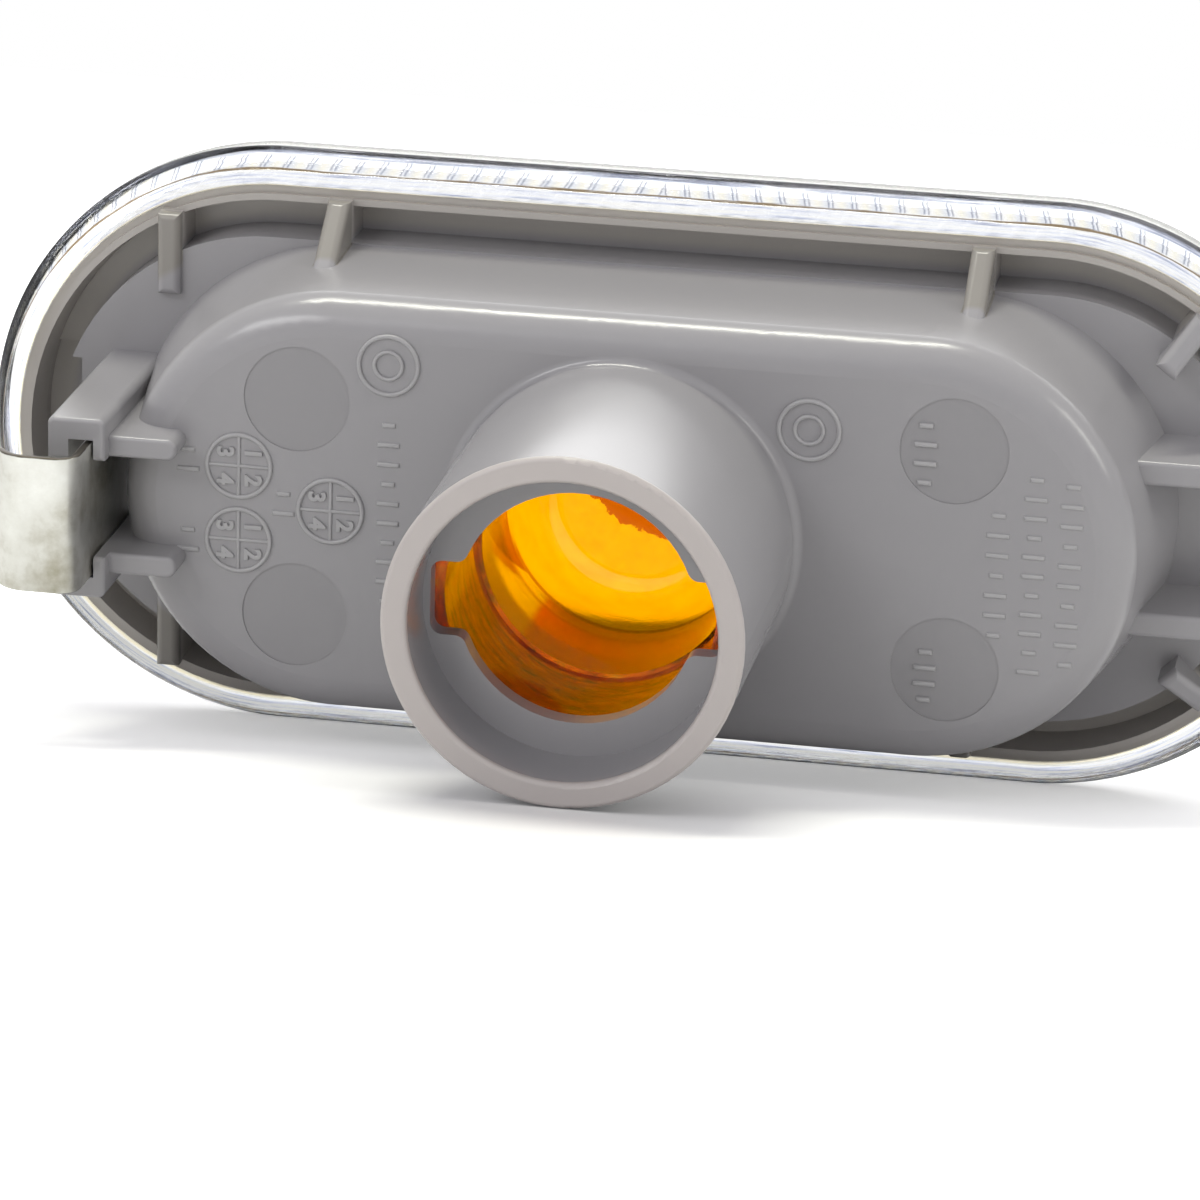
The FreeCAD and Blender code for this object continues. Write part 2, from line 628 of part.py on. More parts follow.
# amber cap: a cup with a stepped wall and a rounded end, standing on the bayonet ring
cap = new_body("amber_cap")
ring_front = "socket_level - ring_inset - ring_thickness"
cap_outer = "(socket_bore - cap_gap)"
cap_outside = circle(cap, "cap_outside", ring_front, cap_outer)
pad(cap, cap_outside, ring_front + " - cap_end_level", reverse=True)
cap_bore = circle(cap, "cap_bore", ring_front, cap_outer + " - cap_wall")
pocket(cap, cap_bore, ring_front + " - cap_step_level")
cap_inner = circle(cap, "cap_inner", ring_front, cap_outer + " - cap_wall - cap_step")
pocket(cap, cap_inner, ring_front + " - cap_end_level - cap_wall")
cap_end = -size("cap_end_level")
round_edges(cap, "cap_end_outside", "cap_shoulder_level - cap_end_level", lambda p: near(p.y, cap_end))
cap_floor = cap_end - size("cap_wall")
round_edges(cap, "cap_end_inside", "cap_shoulder_level - cap_end_level - cap_wall",
            lambda p: near(p.y, cap_floor))

# spring clip: one folded strip, whose path runs along the middle of its thickness
clip = new_body("spring_clip")
path = new_sketch(clip, "clip_path", "XY_Plane")
leg_x = -value_of(CLIP_PLACE)
foot_y = -size("clip_foot_level")
fold_y = -size("clip_fold_level") + size("clip_thickness") / 2
fold_r = size("clip_fold_radius")
knee_x = -value_of(KNEE_PLACE)
knee_r = size("clip_knee_radius")
tip_y = -size("clip_tip_level")
slope = math.radians(size("clip_slope"))
up = FreeCAD.Vector(0, 0, 1)
fold_centre = FreeCAD.Vector(leg_x - fold_r, fold_y + fold_r, 0)
fold_out = fold_centre + FreeCAD.Vector(-math.sin(slope), -math.cos(slope), 0) * fold_r
run = (fold_out.x - knee_x - knee_r * (1 - math.sin(slope))) / math.cos(slope)
knee_in = fold_out + FreeCAD.Vector(-math.cos(slope), math.sin(slope), 0) * run
knee_centre = knee_in + FreeCAD.Vector(math.sin(slope), math.cos(slope), 0) * knee_r
knee_out = FreeCAD.Vector(knee_x, knee_centre.y, 0)
leg_top = FreeCAD.Vector(leg_x, fold_centre.y, 0)
tip = FreeCAD.Vector(knee_x, tip_y, 0)
lip = tip + FreeCAD.Vector(size("clip_lip"), size("clip_lip"), 0)
path.addGeometry([
    Part.LineSegment(FreeCAD.Vector(leg_x, foot_y, 0), leg_top),
    Part.ArcOfCircle(Part.Circle(fold_centre, up, fold_r), -math.pi / 2 - slope, 0),
    Part.LineSegment(fold_out, knee_in),
    Part.ArcOfCircle(Part.Circle(knee_centre, up, knee_r), math.pi, 3 * math.pi / 2 - slope),
    Part.LineSegment(knee_out, tip),
    Part.LineSegment(tip, lip),
])
path.addConstraint([
    Sketcher.Constraint("Tangent", 0, 2, 1, 2),
    Sketcher.Constraint("Tangent", 1, 1, 2, 1),
    Sketcher.Constraint("Tangent", 2, 2, 3, 2),
    Sketcher.Constraint("Tangent", 3, 1, 4, 1),
    Sketcher.Constraint("Coincident", 4, 2, 5, 1),
    Sketcher.Constraint("Vertical", 0),
    Sketcher.Constraint("Vertical", 4),
])
fix_point(path, 0, 1, "-" + CLIP_PLACE, "-clip_foot_level")
dimension(path, "Radius", (1,), "clip_fold_radius")
dimension(path, "Radius", (3,), "clip_knee_radius")
dimension(path, "DistanceY", (1, 3, -1, 1), "clip_fold_level - clip_thickness / 2 - clip_fold_radius")
dimension(path, "Angle", (2, 2, -1, 1), "clip_slope")
fix_point(path, 4, 2, "-" + KNEE_PLACE, "-clip_tip_level")
fix_point(path, 5, 2, "-" + KNEE_PLACE + " + clip_lip", "-clip_tip_level + clip_lip")
strip = outline(clip, "clip_strip", [
    ("-%s - clip_thickness / 2" % CLIP_PLACE, "-clip_width / 2"),
    ("-%s + clip_thickness / 2" % CLIP_PLACE, "-clip_width / 2"),
    ("-%s + clip_thickness / 2" % CLIP_PLACE, "clip_width / 2"),
    ("-%s - clip_thickness / 2" % CLIP_PLACE, "clip_width / 2"),
], offset="clip_foot_level")
doc.recompute()
fold = clip.newObject("PartDesign::AdditivePipe", "clip_fold")
fold.Profile = strip
fold.Spine = (path, ["Edge%d" % (index + 1) for index in range(6)])
fold.Transition = 1

bodies = [lens, housing, cap, clip]
doc.recompute()
for item in doc.Objects:
    if "Invalid" in item.State or "Error" in item.State:
        raise RuntimeError("failed: " + item.Name + " " + str(item.State))
os.makedirs("parts", exist_ok=True)
for body in bodies:
    shape = body.Shape
    if shape.isNull() or not shape.isValid():
        raise RuntimeError("bad shape: " + body.Label)
    shape.exportStep("parts/%s.step" % body.Label)
    print(body.Label, round(shape.Volume, 1), shape.BoundBox)
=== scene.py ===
import bpy
import math
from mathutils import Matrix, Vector


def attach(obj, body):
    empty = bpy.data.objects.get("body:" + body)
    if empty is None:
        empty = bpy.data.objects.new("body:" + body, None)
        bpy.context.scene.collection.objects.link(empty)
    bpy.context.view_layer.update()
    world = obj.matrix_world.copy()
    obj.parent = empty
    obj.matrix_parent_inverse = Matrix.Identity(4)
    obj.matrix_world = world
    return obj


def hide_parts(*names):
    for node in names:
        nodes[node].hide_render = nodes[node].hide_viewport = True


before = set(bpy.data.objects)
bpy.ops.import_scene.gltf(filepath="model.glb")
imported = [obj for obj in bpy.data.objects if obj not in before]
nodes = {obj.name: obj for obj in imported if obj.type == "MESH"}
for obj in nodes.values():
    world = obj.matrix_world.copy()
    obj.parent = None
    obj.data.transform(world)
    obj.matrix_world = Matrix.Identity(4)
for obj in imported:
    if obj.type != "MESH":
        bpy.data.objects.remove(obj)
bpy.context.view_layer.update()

# Side repeater lamp, seen from behind. The script works in metres, in the frame of the solids:
# the lens faces +Y, the bulb socket points to -Y and the spring clip is at -X.
MM = 0.001

# Sizes in millimetres that the pieces share with the solids.
LENS_CENTRES = 26.95
LENS_RADIUS = 21.2
LENS_FRONT = 12.5
LENS_ROUND = 10.0
LENS_WALL = 2.2
LENS_SEAT = 18.95
PAN_LEVEL = -13.4
SOCKET_MOUTH = -34.8
SOCKET_RADIUS = 12.0
CLIP_HALF = 4.8
CLIP_THICK = 0.5
INSERT_PLACE = (22.55, 7.75)
INSERT_RADIUS = 3.7

# Zones of tone, from and to, in millimetres. A level is measured along Y, a reach out from the
# oval's middle line.
INSERT_LEVELS = (-14.5, -12.5)
MOUTH_LEVELS = (SOCKET_MOUTH - 1.2, SOCKET_MOUTH + 0.4)
# Groove zone: painted light, a lighter and warmer tone.
GROOVE_REACH = (15.9, 40.0)
GROOVE_LEVELS = (-0.5, 20.0)
# Rib zones: painted shade, a darker and browner tone.
SIDE_RIB_X = (21.6, 23.4)
END_RIB_X = (-35.5, -33.7)
RIB_REACH = (14.6, 40.0)
RIB_LEVELS = (-5.4, -0.6)

# The lens's cell, outer band, edge line and side band zones hold painted reflection.
WELD_GLOW_REACH = (18.9, 19.04)
WELD_LINE_REACH = (20.08, 20.17)
CELL_REACH = (20.2, 20.82)
CELL_PITCH = 1.66
OUTER_REACH = (20.82, 21.3)
EDGE_LINE_REACH = (21.03, 21.2)
BARE_LEVELS = (0.2, 5.6)
SIDE_LINE_LEVELS = (2.2, 2.5)
SIDE_LEVELS = (2.3, 4.7)
FRONT_LEVELS = (4.9, 20.0)
FLANGE_RADIUS = 20.3

# The cap's sleeve, wall, rounding and floor zones hold painted shade.
CAP_SLEEVE_LEVELS = (-30.0, -16.9)
CAP_WALL_LEVELS = (-16.8, -8.4)
CAP_ROUND_LEVELS = (-8.5, -8.0)
CAP_FLOOR_LEVELS = (-7.5, -4.7)
CAP_SHADE_PLACE = (3.0, 6.0)
CAP_SHADE_RADIUS = 8.8


# Hand tools

def put_down():
    """Leaves edit mode and deselects everything."""
    if bpy.context.object and bpy.context.object.mode != "OBJECT":
        bpy.ops.object.mode_set(mode="OBJECT")
    bpy.ops.object.select_all(action="DESELECT")


def pick_up(piece):
    """Selects one piece and makes it the active one."""
    put_down()
    piece.select_set(True)
    bpy.context.view_layer.objects.active = piece


def choose(piece, kind, test):
    """Selects the vertices, edges or faces that pass the test, and goes to edit mode."""
    pick_up(piece)
    bpy.ops.object.mode_set(mode="EDIT")
    bpy.ops.mesh.select_mode(type=kind)
    bpy.ops.mesh.select_all(action="DESELECT")
    bpy.ops.object.mode_set(mode="OBJECT")
    if kind == "VERT":
        for vertex in piece.data.vertices:
            vertex.select = test(vertex.co)
    elif kind == "EDGE":
        for edge in piece.data.edges:
            ends = [piece.data.vertices[index].co for index in edge.vertices]
            edge.select = test(ends[0], ends[1])
    else:
        for face in piece.data.polygons:
            face.select = test(face.center, face.normal)
    bpy.ops.object.mode_set(mode="EDIT")


def settle(piece):
    """Puts a piece's place into its mesh, so that its object sits at the origin."""
    pick_up(piece)
    bpy.ops.object.transform_apply(location=True, rotation=True, scale=True)


def finish_with(piece, kind, **settings):
    """Adds a modifier and applies it."""
    pick_up(piece)
    modifier = piece.modifiers.new(kind.lower(), kind)
    for name, value in settings.items():
        setattr(modifier, name, value)
    bpy.ops.object.modifier_apply(modifier=modifier.name)


def join_all(pieces, name):
    """Joins pieces into the first one and names it."""
    put_down()
    for piece in pieces:
        piece.select_set(True)
    bpy.context.view_layer.objects.active = pieces[0]
    bpy.ops.object.join()
    joined = bpy.context.object
    joined.name = name
    return joined


def draw_chain(name, points):
    """A chain of edges drawn point by point, extruded from a single vertex. Points are in millimetres."""
    put_down()
    bpy.ops.mesh.primitive_plane_add(size=MM, location=(0, 0, 0))
    chain = bpy.context.object
    chain.name = name
    bpy.ops.object.mode_set(mode="EDIT")
    bpy.ops.mesh.select_all(action="SELECT")
    bpy.ops.mesh.merge(type="CENTER")
    last = Vector(points[0]) * MM
    bpy.ops.transform.translate(value=last)
    for point in points[1:]:
        here = Vector(point) * MM
        bpy.ops.mesh.extrude_region_move(TRANSFORM_OT_translate={"value": here - last})
        last = here
    bpy.ops.object.mode_set(mode="OBJECT")
    return chain


def arc_points(centre, radius, start, end, steps):
    """Points on an arc in a plane, angles in degrees."""
    points = []
    for step in range(steps + 1):
        angle = math.radians(start + (end - start) * step / steps)
        points.append((centre[0] + radius * math.cos(angle), centre[1] + radius * math.sin(angle)))
    return points


# Nodes that the materials share

def new_material(name):
    material = bpy.data.materials.new(name)
    material.use_nodes = True
    tree = material.node_tree
    return material, tree, tree.nodes["Principled BSDF"]


def add_node(tree, kind, **settings):
    """A node with its inputs or its own settings given by name."""
    node = tree.nodes.new(kind)
    for name, value in settings.items():
        if name in node.inputs:
            node.inputs[name].default_value = value
        else:
            setattr(node, name, value)
    return node


def calc(tree, operation, *values):
    """A math node over values and sockets."""
    node = tree.nodes.new("ShaderNodeMath")
    node.operation = operation
    for socket, value in zip(node.inputs, values):
        if isinstance(value, (int, float)):
            socket.default_value = value
        else:
            tree.links.new(value, socket)
    return node.outputs[0]


def spread(tree, source, given, wanted, kind="LINEAR"):
    """Maps a value from one range to another."""
    node = add_node(tree, "ShaderNodeMapRange", interpolation_type=kind)
    for name, value in zip(("From Min", "From Max", "To Min", "To Max"), (*given, *wanted)):
        node.inputs[name].default_value = value
    tree.links.new(source, node.inputs["Value"])
    return node.outputs["Result"]


def window(tree, value, low, high, soft):
    """A mask that is 1 between two values and fades over a soft edge."""
    rise = spread(tree, value, (low - soft, low + soft), (0.0, 1.0), "SMOOTHSTEP")
    fall = spread(tree, value, (high - soft, high + soft), (1.0, 0.0), "SMOOTHSTEP")
    return calc(tree, "MULTIPLY", rise, fall)


def distance(tree, first, second):
    """The length of a flat vector, from its two parts."""
    squares = [calc(tree, "POWER", part, 2.0) for part in (first, second)]
    return calc(tree, "SQRT", calc(tree, "ADD", *squares))


def ramp(tree, source, stops):
    """A colour ramp over a value, with stops as (position, colour)."""
    node = tree.nodes.new("ShaderNodeValToRGB")
    while len(node.color_ramp.elements) < len(stops):
        node.color_ramp.elements.new(0.5)
    for element, (position, colour) in zip(node.color_ramp.elements, stops):
        element.position = position
        element.color = (*colour, 1)
    tree.links.new(source, node.inputs["Fac"])
    return node.outputs["Color"]


def blend(tree, factor, first, second):
    """A colour mix node. Colours are sockets or tuples."""
    node = add_node(tree, "ShaderNodeMix", data_type="RGBA")
    for name, value in (("Factor", factor), ("A", first), ("B", second)):
        if isinstance(value, tuple):
            node.inputs[name].default_value = (*value, 1)
        else:
            tree.links.new(value, node.inputs[name])
    return node.outputs["Result"]


def place_on_object(tree):
    return tree.nodes.new("ShaderNodeTexCoord").outputs["Object"]


def place_in_mm(tree):
    """A point's place on the object, as three values in millimetres."""
    parts = tree.nodes.new("ShaderNodeSeparateXYZ")
    tree.links.new(place_on_object(tree), parts.inputs[0])
    return [calc(tree, "MULTIPLY", parts.outputs[axis], 1000.0) for axis in "XYZ"]


def noise(tree, place, **settings):
    """A noise texture over a place."""
    node = add_node(tree, "ShaderNodeTexNoise", **settings)
    tree.links.new(place, node.inputs["Vector"])
    return node.outputs["Fac"]


def drawn_out(tree, *parts):
    """A place whose three parts are each scaled, which draws a texture out along them."""
    node = tree.nodes.new("ShaderNodeCombineXYZ")
    for axis, (value, scale) in zip("XYZ", parts):
        tree.links.new(calc(tree, "MULTIPLY", value, scale), node.inputs[axis])
    return node.outputs[0]


def roughen(tree, shader, height, strength, depth):
    """Bumps a surface by a height. The depth is in millimetres."""
    bump = add_node(tree, "ShaderNodeBump", Strength=strength, Distance=depth * MM)
    tree.links.new(height, bump.inputs["Height"])
    tree.links.new(bump.outputs["Normal"], shader.inputs["Normal"])


# Groups that more than one material or zone uses

def make_moulded_skin():
    """Group: the faint mottle and fine grain of a moulded surface."""
    group = bpy.data.node_groups.new("moulded_skin", "ShaderNodeTree")
    for name, kind in (("Light", "NodeSocketColor"), ("Dark", "NodeSocketColor"),
                       ("Mottle Scale", "NodeSocketFloat"), ("Gloss", "NodeSocketFloat")):
        group.interface.new_socket(name=name, in_out="INPUT", socket_type=kind)
    for name, kind in (("Color", "NodeSocketColor"), ("Roughness", "NodeSocketFloat"),
                       ("Height", "NodeSocketFloat")):
        group.interface.new_socket(name=name, in_out="OUTPUT", socket_type=kind)
    given = group.nodes.new("NodeGroupInput")
    result = group.nodes.new("NodeGroupOutput")
    place = place_on_object(group)
    mottle = noise(group, place, Detail=3.0, Roughness=0.5)
    group.links.new(given.outputs["Mottle Scale"], mottle.node.inputs["Scale"])
    tone = blend(group, mottle, given.outputs["Light"], given.outputs["Dark"])
    uneven = spread(group, mottle, (0.3, 0.7), (0.0, 0.07))
    group.links.new(tone, result.inputs["Color"])
    group.links.new(calc(group, "ADD", uneven, given.outputs["Gloss"]), result.inputs["Roughness"])
    group.links.new(noise(group, place, Scale=1300.0, Detail=2.0), result.inputs["Height"])
    return group


def make_oval_place():
    """Group: how far a point lies out from the oval's middle line, how far along its edge, and its level."""
    group = bpy.data.node_groups.new("oval_place", "ShaderNodeTree")
    for name in ("Reach", "Along", "Level"):
        group.interface.new_socket(name=name, in_out="OUTPUT", socket_type="NodeSocketFloat")
    result = group.nodes.new("NodeGroupOutput")
    x, y, z = place_in_mm(group)
    side = calc(group, "ABSOLUTE", x)
    past = calc(group, "MAXIMUM", calc(group, "SUBTRACT", side, LENS_CENTRES), 0.0)
    height = calc(group, "ABSOLUTE", z)
    turn = calc(group, "MULTIPLY", calc(group, "ARCTAN2", past, height), FLANGE_RADIUS)
    along = calc(group, "ADD", calc(group, "MINIMUM", side, LENS_CENTRES), turn)
    for name, value in (("Reach", distance(group, past, height)), ("Along", along), ("Level", y)):
        group.links.new(value, result.inputs[name])
    return group


moulded_skin = make_moulded_skin()
oval_place = make_oval_place()


def read_oval(tree):
    """A point's reach, its way along the oval's edge and its level, in millimetres."""
    oval = add_node(tree, "ShaderNodeGroup", node_tree=oval_place)
    return [oval.outputs[name] for name in ("Reach", "Along", "Level")]


# Materials

def start_moulding(name, light, dark, mottle_scale, gloss, grain):
    """A moulded plastic, from its two tones, its gloss and its grain."""
    material, tree, shader = new_material(name)
    skin = add_node(tree, "ShaderNodeGroup", node_tree=moulded_skin)
    skin.inputs["Light"].default_value = (*light, 1)
    skin.inputs["Dark"].default_value = (*dark, 1)
    skin.inputs["Mottle Scale"].default_value = mottle_scale
    skin.inputs["Gloss"].default_value = gloss
    roughen(tree, shader, skin.outputs["Height"], grain, 0.05)
    return material, tree, shader, skin


def make_mark_highlight_grey():
    """The housing's plastic made a little lighter on the raised marks, a painted highlight."""
    material, tree, shader, skin = start_moulding(
        "mark_highlight_grey", (0.37, 0.363, 0.37), (0.335, 0.33, 0.335), 160.0, 0.3, 0.1)
    tree.links.new(skin.outputs["Color"], shader.inputs["Base Color"])
    tree.links.new(skin.outputs["Roughness"], shader.inputs["Roughness"])
    return material


def make_housing_grey():
    """Grey moulded plastic: darker and duller inside the insert marks, lighter, warmer and duller on the
    mouth, lighter and warmer in the groove as painted light, and darker and browner on the ribs as painted
    shade.
    """
    material, tree, shader, skin = start_moulding(
        "housing_grey", (0.31, 0.303, 0.312), (0.28, 0.274, 0.284), 55.0, 0.2, 0.06)
    x, y, z = place_in_mm(tree)
    reach = read_oval(tree)[0]
    side, height = (calc(tree, "ABSOLUTE", value) for value in (x, z))
    off = distance(tree, calc(tree, "SUBTRACT", side, INSERT_PLACE[0]),
                   calc(tree, "SUBTRACT", height, INSERT_PLACE[1]))
    insert = calc(tree, "MULTIPLY", window(tree, off, -1.0, INSERT_RADIUS, 0.05),
                  window(tree, y, *INSERT_LEVELS, 0.1))
    mouth = window(tree, y, *MOUTH_LEVELS, 0.12)
    # The groove's lighter, warmer tone is painted light.
    groove = calc(tree, "MULTIPLY", window(tree, reach, *GROOVE_REACH, 0.5),
                  window(tree, y, *GROOVE_LEVELS, 0.2))
    # The ribs' darker, browner tone is painted shade.
    ribs = calc(tree, "MAXIMUM", window(tree, side, *SIDE_RIB_X, 0.05), window(tree, x, *END_RIB_X, 0.05))
    ribs = calc(tree, "MULTIPLY", ribs, window(tree, reach, *RIB_REACH, 0.4))
    ribs = calc(tree, "MULTIPLY", ribs, window(tree, y, *RIB_LEVELS, 0.25))
    tone = skin.outputs["Color"]
    for mask, share, colour in (
        (insert, 0.35, (0.215, 0.21, 0.215)),
        (mouth, 0.85, (0.47, 0.43, 0.41)),
        (groove, 0.9, (0.42, 0.395, 0.365)),
        (ribs, 0.9, (0.25, 0.235, 0.21)),
    ):
        tone = blend(tree, calc(tree, "MULTIPLY", mask, share), tone, colour)
    tree.links.new(tone, shader.inputs["Base Color"])
    dull = calc(tree, "MULTIPLY", calc(tree, "MAXIMUM", insert, mouth), 0.15)
    tree.links.new(calc(tree, "ADD", skin.outputs["Roughness"], dull), shader.inputs["Roughness"])
    return material


def tint(red, green, blue):
    """The colour of clear plastic whose single face lets this share of the light through."""
    return (red * red, green * green, blue * blue)


def make_clear():
    """Clear acrylic. Its colour holds painted reflection: dark and light streaks along the flange, light and
    dark cells round the flare where the flutes show through, a dark outer band with a dark line at its edge
    and a grey band round the dome's side. A brown line lies at the weld and a dark line where the flare
    meets the dome.
    """
    material, tree, shader = new_material("clear_acrylic")
    shader.inputs["IOR"].default_value = 1.1
    shader.inputs["Transmission Weight"].default_value = 1.0
    shader.inputs["Coat Roughness"].default_value = 0.04
    reach, along, level = read_oval(tree)
    bare = window(tree, level, *BARE_LEVELS, 0.15)
    coat = calc(tree, "MULTIPLY", calc(tree, "SUBTRACT", 1.0, bare), 0.6)
    tree.links.new(coat, shader.inputs["Coat Weight"])
    streak = noise(tree, drawn_out(tree, (along, 0.16), (reach, 5.0), (level, 1.2)),
                   Scale=1.0, Detail=5.0, Roughness=0.62)
    flange = ramp(tree, streak, [
        (0.34, tint(0.42, 0.46, 0.6)),
        (0.42, tint(0.8, 0.83, 0.94)),
        (0.5, tint(0.97, 0.98, 1.0)),
        (0.66, tint(1.0, 0.99, 0.95)),
    ])
    outer = ramp(tree, streak, [
        (0.36, tint(0.18, 0.2, 0.28)),
        (0.47, tint(0.45, 0.48, 0.58)),
        (0.56, tint(0.74, 0.76, 0.84)),
        (0.66, tint(0.95, 0.95, 1.0)),
    ])
    wave = calc(tree, "MULTIPLY", calc(tree, "SUBTRACT", streak, 0.5), 0.35)
    edge = calc(tree, "ADD", reach, wave)
    slant = calc(tree, "ADD", calc(tree, "ADD", along, calc(tree, "MULTIPLY", reach, 0.5)), wave)
    cells = ramp(tree, calc(tree, "FRACT", calc(tree, "DIVIDE", slant, CELL_PITCH)), [
        (0.0, tint(0.7, 0.73, 0.8)),
        (0.05, tint(0.2, 0.23, 0.33)),
        (0.1, tint(0.8, 0.83, 0.9)),
        (0.17, tint(0.95, 0.96, 1.0)),
        (0.23, tint(0.24, 0.27, 0.37)),
        (0.3, tint(1.0, 1.0, 1.0)),
        (0.6, tint(1.0, 0.97, 0.86)),
        (0.9, tint(0.86, 0.88, 0.92)),
    ])
    front = window(tree, level, *FRONT_LEVELS, 0.3)
    # The streaks, the cells, the outer band with its edge line and the grey side band are painted reflection
    # in the clear plastic's colour.
    tone = flange
    for mask, colour in (
        (window(tree, reach, *CELL_REACH, 0.04), cells),
        (window(tree, edge, *WELD_LINE_REACH, 0.02), tint(0.3, 0.22, 0.13)),
        (window(tree, edge, *WELD_GLOW_REACH, 0.03), tint(1.0, 0.93, 0.74)),
        (window(tree, edge, *OUTER_REACH, 0.02), outer),
        (window(tree, edge, *EDGE_LINE_REACH, 0.02), tint(0.24, 0.24, 0.27)),
        (window(tree, level, *SIDE_LEVELS, 0.25), tint(0.6, 0.6, 0.58)),
        (window(tree, level, *SIDE_LINE_LEVELS, 0.05), tint(0.12, 0.12, 0.13)),
        (front, tint(0.975, 0.98, 0.985)),
    ):
        tone = blend(tree, mask, tone, colour)
    tree.links.new(tone, shader.inputs["Base Color"])
    drag = calc(tree, "MULTIPLY", streak, calc(tree, "SUBTRACT", 1.0, front))
    dull = calc(tree, "ADD", calc(tree, "MULTIPLY", drag, 0.12), 0.012)
    tree.links.new(dull, shader.inputs["Roughness"])
    roughen(tree, shader, drag, 0.3, 0.1)
    return material


def make_amber():
    """Amber polycarbonate, bright at its end. Painted shade darkens and streaks the sleeve and lays a deeper
    band, a dark wedge, a dark rounding and a dark ragged patch; painted glints light the sleeve.
    """
    material, tree, shader = new_material("amber_plastic")
    shader.inputs["IOR"].default_value = 1.14
    shader.inputs["Transmission Weight"].default_value = 0.97
    shader.inputs["Coat Weight"].default_value = 0.8
    shader.inputs["Coat Roughness"].default_value = 0.05
    shader.inputs["Roughness"].default_value = 0.05
    x, y, z = place_in_mm(tree)
    turn = calc(tree, "ARCTAN2", z, x)
    lean = calc(tree, "ADD", calc(tree, "MULTIPLY", turn, 2.2), calc(tree, "MULTIPLY", y, 0.12))
    streak = noise(tree, drawn_out(tree, (lean, 1.0), (y, 0.9), (distance(tree, x, z), 0.5)),
                   Scale=1.6, Detail=7.0, Roughness=0.7)
    speck = noise(tree, place_on_object(tree), Scale=900.0, Detail=6.0, Roughness=0.75)
    bright = ramp(tree, streak, [
        (0.35, (1.0, 0.34, 0.0)),
        (0.6, (1.0, 0.42, 0.0)),
    ])
    sleeve = ramp(tree, streak, [
        (0.4, (0.08, 0.002, 0.0)),
        (0.48, (0.56, 0.02, 0.0)),
        (0.58, (0.92, 0.06, 0.0)),
        (0.66, (1.0, 0.3, 0.01)),
    ])
    # Glints: painted highlights, bright specks on the sleeve. The sleeve's dark streaks are painted shade.
    glints = ramp(tree, speck, [
        (0.56, (0.0, 0.0, 0.0)),
        (0.66, (1.0, 1.0, 1.0)),
    ])
    sleeve = blend(tree, calc(tree, "MULTIPLY", glints, 0.4), sleeve, (1.0, 0.4, 0.01))

    # Down is the angle round the cup from its left, in radians. The wedge climbs the wall with it.
    down = calc(tree, "ARCTAN2", calc(tree, "MULTIPLY", z, -1.0), calc(tree, "MULTIPLY", x, -1.0))
    wall = window(tree, y, *CAP_WALL_LEVELS, 0.12)
    band = calc(tree, "MULTIPLY", wall, window(tree, down, 0.85, 2.9, 0.04))
    climb = calc(tree, "SUBTRACT", y, calc(tree, "MULTIPLY", down, 10.6))
    wedge = calc(tree, "MULTIPLY", wall, window(tree, down, -2.6, 0.62, 0.03))
    wedge = calc(tree, "MULTIPLY", wedge, window(tree, climb, -14.9, 40.0, 0.25))
    rounding = calc(tree, "MULTIPLY", window(tree, y, *CAP_ROUND_LEVELS, 0.12),
                    window(tree, down, 0.3, 2.7, 0.15))
    ragged = calc(tree, "MULTIPLY", calc(tree, "SUBTRACT", speck, 0.5), 2.4)
    apart = distance(tree, calc(tree, "SUBTRACT", x, CAP_SHADE_PLACE[0]),
                     calc(tree, "SUBTRACT", z, CAP_SHADE_PLACE[1]))
    patch = window(tree, calc(tree, "ADD", apart, ragged), -1.0, CAP_SHADE_RADIUS, 0.08)
    patch = calc(tree, "MULTIPLY", patch, window(tree, y, *CAP_FLOOR_LEVELS, 0.05))
    # The sleeve's dark streaks, the band, the wedge, the rounding and the patch are painted shade.
    tone = bright
    for mask, colour in (
        (window(tree, y, *CAP_SLEEVE_LEVELS, 0.15), sleeve),
        (band, (0.85, 0.04, 0.0)),
        (wedge, (0.3, 0.006, 0.0)),
        (rounding, (0.4, 0.05, 0.0)),
        (patch, (0.3, 0.025, 0.0)),
    ):
        tone = blend(tree, mask, tone, colour)
    tree.links.new(tone, shader.inputs["Base Color"])
    roughen(tree, shader, streak, 0.35, 0.2)
    return material


def make_zinc():
    """Zinc plated spring steel, slightly yellowed, with smudges, fine rubbing and dark cut edges."""
    material, tree, shader = new_material("zinc_steel")
    smudge = noise(tree, place_on_object(tree), Scale=260.0, Detail=6.0, Roughness=0.62)
    tone = ramp(tree, smudge, [
        (0.25, (0.40, 0.38, 0.30)),
        (0.5, (0.70, 0.70, 0.65)),
        (0.75, (0.84, 0.85, 0.81)),
    ])
    height = calc(tree, "ABSOLUTE", place_in_mm(tree)[2])
    worn = calc(tree, "ADD", height, calc(tree, "MULTIPLY", calc(tree, "SUBTRACT", smudge, 0.5), 0.3))
    cut = window(tree, worn, CLIP_HALF - 0.05, 9.0, 0.04)
    tree.links.new(blend(tree, cut, tone, (0.07, 0.06, 0.045)), shader.inputs["Base Color"])
    shader.inputs["Metallic"].default_value = 1.0
    tree.links.new(spread(tree, smudge, (0.0, 1.0), (0.22, 0.5)), shader.inputs["Roughness"])
    return material


housing_grey = make_housing_grey()
mark_highlight_grey = make_mark_highlight_grey()
clear_acrylic = make_clear()
amber_plastic = make_amber()
zinc_steel = make_zinc()

for name, material in (("housing", housing_grey), ("amber_cap", amber_plastic)):
    for slot in nodes[name].material_slots:
        slot.material = material


# Lens: a round lens is spun from its section, pulled apart into an oval, and fluted inside

ROUND_STEPS = 144
STRAIGHT_CUTS = 64
MIDDLE_RING = 3.0
FLUTE_DEPTH = 0.25
FLUTE_LEVELS = (0.5, 4.5)


